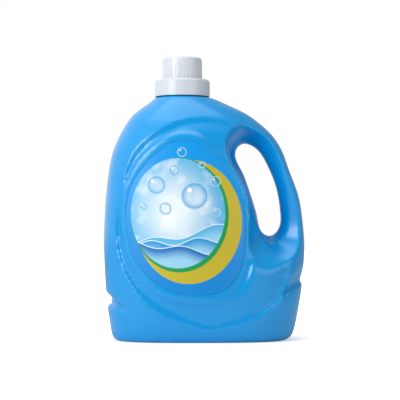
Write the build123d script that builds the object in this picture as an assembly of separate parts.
"""Five-litre laundry detergent jug with a moulded-in handle, a drain-back spout and a dosing cap.

The jug stands on the plane z = 0. X runs across its width, the mould's parting plane is y = 0, and the
front with the label looks along -Y. Outlines are shares of the body's width and height, and run clockwise
as seen from the front. All sizes are in millimetres.
"""
from build123d import *
import os
from math import cos, sin, pi, radians, tan

# Blown body
body_width = 228.0
body_depth = 142.0
shoulder_height = 274.5
shoulder_diameter = 64.4
body_wall = 1.6
base_wall = 2.4
foot_ring_width = 9.0
push_up_height = 4.0

# Relief of the front and back: bands and foot stand proud of a valley that also grooves the sides
valley_depth = 3.0
side_groove_depth = 5.6
side_groove_top = 0.3
hidden_step = 0.5

# Label panel: a leaning cylinder, so that a flat label wraps round it without creases
panel_radius = 185.0
panel_reach = 67.6
panel_lean = 2.0
panel_step = 1.2
panel_middle = 0.5
panel_crown = -0.075

# Depths in front of the parting plane at which the handle's bore ends, its front starts and the scoop
# round it leaves the body
bore_depth = 8.0
grip_depth = 19.5
scoop_depth = 80.0

# Neck, centred under the cap
neck_x = -24.8
neck_diameter = 53.8
neck_height = 16.1
neck_wall = 1.9

# Cap: a wide skirt over the neck and a ribbed cup above it
skirt_diameter = 62.4
skirt_height = 19.1
cup_diameter = 45.3
cap_height = 44.1
cap_wall = 1.7
cap_corner = 3.2
cup_draft = 0.6
groove_count = 36
groove_radius = 0.75
groove_depth = 0.55
groove_margin = 1.6

# Liner under the cap's inner shoulder
liner_thickness = 0.8
liner_width = 4.4

# Spout fitting
spout_flange = 2.1
spout_wall = 1.4
spout_diameter = 27.0
spout_depth = 14.0
spout_reach = 15.5
drain_slot = 8.0
spout_slant = 18.0
fit_clearance = 0.15

# Label
label_thickness = 0.2
label_glue = 0.15
recess_depth = 0.5
label_margin = 1.2

# height, left, right, half depth, left fullness, right fullness, crown
body_sections = [
    (0.000, -0.430, 0.392, 0.80, 2.9, 2.8, -0.075),
    (0.018, -0.456, 0.434, 0.86, 2.9, 2.8, -0.075),
    (0.054, -0.466, 0.452, 0.915, 2.8, 2.7, -0.075),
    (0.120, -0.479, 0.468, 0.965, 2.6, 2.7, -0.075),
    (0.200, -0.489, 0.484, 0.988, 2.5, 2.6, -0.075),
    (0.300, -0.496, 0.496, 0.998, 2.5, 2.5, -0.075),
    (0.400, -0.500, 0.500, 1.0, 2.5, 2.5, -0.075),
    (0.500, -0.497, 0.490, 0.995, 2.5, 2.5, -0.075),
    (0.600, -0.489, 0.469, 0.983, 2.5, 2.4, -0.075),
    (0.700, -0.475, 0.425, 0.960, 2.5, 2.3, -0.075),
    (0.783, -0.453, 0.388, 0.925, 2.4, 2.2, -0.078),
    (0.850, -0.418, 0.335, 0.86, 2.2, 2.1, -0.088),
    (0.898, -0.384, 0.272, 0.76, 2.2, 2.1, -0.096),
    (0.932, -0.351, 0.215, 0.68, 2.1, 2.1, -0.102),
    (0.966, -0.297, 0.132, 0.59, 2.0, 2.0, -0.107),
    (0.985, -0.265, 0.082, 0.52, 2.0, 2.0, -0.108),
]

# Edge of the raised label panel, clockwise from its top
panel_outline = [
    (-0.084, 0.846), (0.004, 0.819), (0.072, 0.767), (0.134, 0.702), (0.196, 0.618), (0.236, 0.520),
    (0.248, 0.387), (0.232, 0.296), (0.190, 0.214), (0.120, 0.170), (0.011, 0.153), (-0.123, 0.163),
    (-0.224, 0.195), (-0.312, 0.260), (-0.375, 0.344), (-0.404, 0.453), (-0.404, 0.553), (-0.375, 0.654),
    (-0.312, 0.742), (-0.215, 0.811),
]

# Outer border of the valley round the panel, clockwise from its top
border_outline = [
    (-0.062, 0.897), (0.052, 0.897), (0.164, 0.878), (0.257, 0.850), (0.352, 0.758), (0.413, 0.634),
    (0.434, 0.473), (0.418, 0.324), (0.367, 0.186), (0.242, 0.108), (0.072, 0.068), (-0.020, 0.072),
    (-0.157, 0.110), (-0.274, 0.170), (-0.371, 0.269), (-0.417, 0.372), (-0.426, 0.493), (-0.400, 0.614),
    (-0.342, 0.752), (-0.249, 0.832), (-0.157, 0.876),
]

# Top edge of the foot, and lower edge of the side bands, left to right
foot_line = [(-0.60, 0.165), (-0.47, 0.145), (-0.38, 0.128), (-0.26, 0.100), (-0.09, 0.074), (0.072, 0.060),
             (0.242, 0.100), (0.367, 0.172), (0.450, 0.222), (0.60, 0.245)]
band_line = [(-0.60, 0.235), (-0.47, 0.190), (-0.38, 0.142), (-0.26, 0.108), (-0.09, 0.082), (0.072, 0.068),
             (0.242, 0.108), (0.367, 0.184), (0.450, 0.280), (0.60, 0.330)]

# Finger opening at the parting plane, clockwise from its top, where the handle's front is flat enough to
# hold, and where the scoop that clears the fingers would leave the front
hole_outline = [
    (0.207, 0.812), (0.250, 0.798), (0.288, 0.765), (0.320, 0.716), (0.346, 0.666), (0.369, 0.600),
    (0.380, 0.533), (0.381, 0.483), (0.364, 0.448), (0.325, 0.428), (0.283, 0.450), (0.266, 0.500),
    (0.245, 0.567), (0.218, 0.634), (0.187, 0.699), (0.158, 0.748), (0.160, 0.788),
]
grip_outline = [
    (0.208, 0.842), (0.268, 0.826), (0.316, 0.786), (0.351, 0.732), (0.378, 0.677), (0.402, 0.608),
    (0.413, 0.535), (0.414, 0.477), (0.392, 0.430), (0.330, 0.403), (0.272, 0.432), (0.255, 0.498),
    (0.233, 0.565), (0.203, 0.628), (0.165, 0.692), (0.126, 0.746), (0.132, 0.800),
]
scoop_outline = [
    (0.175, 0.950), (0.420, 0.950), (0.660, 0.910), (0.830, 0.820), (0.940, 0.725), (1.030, 0.625),
    (1.050, 0.530), (0.990, 0.430), (0.770, 0.270), (0.420, 0.130), (0.246, 0.190), (0.250, 0.437),
    (0.222, 0.565), (0.184, 0.634), (0.136, 0.703), (0.094, 0.775), (0.096, 0.860),
]

label_outline = [
    (-0.083, 0.810), (0.000, 0.784), (0.072, 0.728), (0.139, 0.634), (0.183, 0.551), (0.198, 0.463),
    (0.193, 0.373), (0.174, 0.298), (0.135, 0.244), (0.081, 0.211), (0.000, 0.195), (-0.093, 0.197),
    (-0.170, 0.215), (-0.263, 0.265), (-0.324, 0.321), (-0.365, 0.417), (-0.378, 0.489), (-0.367, 0.591),
    (-0.340, 0.651), (-0.278, 0.720), (-0.216, 0.769), (-0.154, 0.802),
]

# Places worked out from the sizes above
half_depth = body_depth / 2
neck_top = shoulder_height + neck_height
cap_seat = neck_top + spout_flange + liner_thickness
skirt_top = cap_seat + cap_wall
cap_bottom = skirt_top - skirt_height
cap_top = cap_bottom + cap_height
neck_bore = neck_diameter / 2 - neck_wall
skirt_bore = skirt_diameter / 2 - cap_wall
cup_radius = cup_diameter / 2
flange_radius = neck_diameter / 2 - fit_clearance

section_points = 16
standing = (Align.CENTER, Align.CENTER, Align.MIN)
front_space = Pos(0, -body_depth, 0) * Box(2 * body_width, 2 * body_depth, 4 * shoulder_height)


def place(share_x, share_z):
    """Point on the parting plane, from shares of the body's width and height."""
    return Vector(share_x * body_width, 0, share_z * shoulder_height)


def moved_out(curve, fractions, amount):
    """Points along a clockwise curve on the parting plane, each moved outwards by amount."""
    return [curve.position_at(at) + curve.tangent_at(at).cross(Vector(0, 1, 0)) * amount for at in fractions]


def closed_outline(points, growth=0.0):
    """Smooth closed outline on the parting plane, grown along its own normals."""
    curve = Spline(*[place(*point) for point in points], periodic=True)
    if growth:
        fractions = [index / len(points) for index in range(len(points))]
        curve = Spline(*moved_out(curve, fractions, growth), periodic=True)
    return curve


def bar(points, growth=0.0):
    """Straight bar through the jug from front to back, with the outline as its section."""
    return extrude(make_face(closed_outline(points, growth)), body_depth, dir=(0, 1, 0), both=True)


def below(line, rise=0.0):
    """Everything under a line drawn across the front, the line raised by rise."""
    points = [place(*point) + Vector(0, 0, rise) for point in line]
    floor = -shoulder_height / 2
    closing = Polyline(points[-1], (points[-1].X, 0, floor), (points[0].X, 0, floor), points[0])
    return extrude(make_face([Spline(*points), closing]), body_depth, dir=(0, 1, 0), both=True)


def section(height, left, right, depth, left_fullness, right_fullness, crown):
    """Horizontal section: a rounded egg, its two ends with a fullness of their own."""
    points = []
    for index in range(section_points):
        angle = pi / 2 + 2 * pi * index / section_points
        across, back = cos(angle), sin(angle)
        fullness = right_fullness if across > 0 else left_fullness
        reach = right - crown if across > 0 else left - crown
        depth_share = abs(back) ** (2 / fullness) * (1 if back > 0 else -1)
        points.append((crown + reach * abs(across) ** (2 / fullness), depth * depth_share, height))
    return make_face(Spline(*points, periodic=True))


def front_half(inset_left, inset_right, inset_depth, inset_base, inset_top):
    """Front half of the body from the foot to the shoulder, each side moved inwards."""
    rows = []
    for height, left, right, depth, left_fullness, right_fullness, crown in body_sections:
        z = height * shoulder_height
        if not rows:
            z = inset_base
        elif z < 2 * inset_base:
            continue
        left_side = left * body_width + inset_left(height)
        right_side = right * body_width - inset_right(height)
        front = depth * half_depth - inset_depth
        rows.append(section(z, left_side, right_side, front, left_fullness, right_fullness,
                            crown * body_width))
    radius = shoulder_diameter / 2
    left_side = neck_x - radius + inset_left(1)
    right_side = neck_x + radius - inset_right(1)
    top = shoulder_height - inset_top
    rows.append(section(top, left_side, right_side, radius - inset_depth, 2, 2, neck_x))
    return loft(rows) & front_space


def crest_level():
    """Body at the level of its foot and of the bands round the valley."""
    def no_inset(height):
        return 0.0
    return front_half(no_inset, no_inset, 0.0, 0.0, 0.0)


def valley_level(inset, inset_base):
    """Body at the level of the valley round the label panel and of the grooves in its sides."""
    def inset_left(height):
        return inset + (side_groove_depth if height < side_groove_top else valley_depth)

    def inset_right(height):
        return inset + (side_groove_depth if height < side_groove_top else hidden_step)
    drop = inset + valley_depth
    return front_half(inset_left, inset_right, drop, inset_base, drop)


def panel(drop=0.0):
    """Leaning cylinder behind the front label panel, drop below the panel's surface."""
    lean = tan(radians(panel_lean))
    middle = panel_middle * shoulder_height
    overrun = shoulder_height / 10
    reach = panel_reach - drop + lean * (middle + overrun)
    disc = Pos(panel_crown * body_width, panel_radius - reach, -overrun) * Circle(panel_radius)
    return extrude(disc, (shoulder_height + 2 * overrun) / cos(radians(panel_lean)), dir=(0, lean, 1))


def scoop(growth=0.0):
    """Front half of the opening behind the handle, flared from the parting plane to the front."""
    rows = [(hole_outline, -1.0), (hole_outline, bore_depth), (grip_outline, grip_depth - growth),
            (scoop_outline, scoop_depth - growth)]
    faces = [Pos(0, -depth, 0) * make_face(closed_outline(outline, growth)) for outline, depth in rows]
    return loft(faces, ruled=True)


def push_up(growth=0.0):
    """Hollow under the base, so that the jug stands on a ring."""
    def row(height, inset):
        _, left, right, depth, left_fullness, right_fullness, crown = body_sections[0]
        return section(height, left * body_width + inset, right * body_width - inset,
                       depth * half_depth - inset, left_fullness, right_fullness, crown * body_width)
    bottom = row(-1, foot_ring_width - growth)
    top = row(push_up_height + growth, 2 * foot_ring_width - growth)
    return loft([bottom, top])


def outside_half():
    """Front half of the outside: valley, label panel, side bands, foot and handle."""
    crest = crest_level()
    body = valley_level(0, side_groove_depth) - (bar(panel_outline, -panel_step) - panel(panel_step))
    body += bar(panel_outline) & crest & panel()
    body += crest - bar(border_outline) - below(band_line)
    body += crest & below(foot_line)
    return body - scoop() - push_up()


def inside_half():
    """Front half of the hollow: it follows the valley's level, one wall further in."""
    body = valley_level(body_wall, base_wall)
    body -= bar(panel_outline, body_wall) - panel(panel_step + body_wall)
    return body - scoop(body_wall) - push_up(base_wall)


def upright(radius, bottom, top):
    """Cylinder on the neck's axis from one height to another."""
    return Pos(neck_x, 0, bottom) * Cylinder(radius, top - bottom, align=standing)


def make_jug_body():
    """Hollow blown body with its neck; the front half is mirrored at the parting plane."""
    half = outside_half() - inside_half()
    half += upright(neck_diameter / 2, shoulder_height - neck_wall, neck_top) & front_space
    half -= upright(neck_bore, shoulder_height - neck_height, neck_top)
    half -= (bar(label_outline, label_margin) - panel(recess_depth)) & front_space
    return half + mirror(half, about=Plane.XZ)


def make_front_label():
    """Film label, a glue line's thickness off the floor of the recess."""
    back = recess_depth - label_glue
    return (bar(label_outline) & front_space & panel(back - label_thickness)) - panel(back)


def make_pour_spout():
    """Drain-back fitting: a plug in the neck, a flange on its rim and a slanted spout with a drain slot."""
    plug_radius = neck_bore - fit_clearance
    floor = neck_top - spout_depth
    spout_radius = spout_diameter / 2
    spout_top = neck_top + spout_reach
    fitting = upright(plug_radius, floor, neck_top)
    fitting += upright(flange_radius, neck_top, neck_top + spout_flange)
    fitting -= upright(plug_radius - spout_wall, floor + spout_wall, neck_top + spout_flange)
    fitting += upright(spout_radius, floor, spout_top)
    fitting -= upright(spout_radius - spout_wall, floor, spout_top)
    lip = Pos(neck_x - spout_radius, 0, spout_top) * Rot(0, spout_slant, 0)
    fitting -= lip * Box(3 * spout_diameter, 2 * spout_diameter, spout_reach, align=standing)
    slot = Pos(neck_x + spout_radius, 0, floor + spout_wall + drain_slot / 2)
    return fitting - slot * Box(spout_diameter / 2, drain_slot, drain_slot)


def make_cap_liner():
    """Foam ring under the cap's inner shoulder, pressed on the spout's flange."""
    bottom = cap_seat - liner_thickness
    return upright(flange_radius, bottom, cap_seat) - upright(flange_radius - liner_width, bottom, cap_seat)


def rounded_top(solid):
    """A turned solid with its top edge rounded."""
    return fillet(solid.edges().filter_by(GeomType.CIRCLE).sort_by(Axis.Z)[-1], cap_corner)


def make_dosing_cap():
    """Screw cap in one piece: a wide skirt over the neck and a narrower ribbed cup to dose with."""
    skirt = rounded_top(upright(skirt_diameter / 2, cap_bottom, skirt_top))
    cup = Cone(cup_radius, cup_radius - cup_draft, cap_top - skirt_top, align=standing)
    cup = rounded_top(Pos(neck_x, 0, skirt_top) * cup)
    bottom = skirt_top + groove_margin
    top = cap_top - cap_corner - groove_margin
    around = PolarLocations(cup_radius + groove_radius - groove_depth, groove_count)
    groove = Cylinder(groove_radius, top - bottom, align=standing)
    grooves = [Pos(neck_x, 0, bottom) * spot * groove for spot in around]
    cap = skirt + (cup - grooves)
    cap -= upright(skirt_bore, cap_bottom, cap_seat)
    bore = cup_radius - cap_wall
    hollow = Cone(bore, bore - cup_draft, cap_top - cap_wall - cap_seat, align=standing)
    return cap - Pos(neck_x, 0, cap_seat) * hollow


os.makedirs("parts", exist_ok=True)
pieces = {"jug_body": make_jug_body, "front_label": make_front_label, "pour_spout": make_pour_spout,
          "cap_liner": make_cap_liner, "dosing_cap": make_dosing_cap}
for name, make in pieces.items():
    export_step(make(), f"parts/{name}.step")
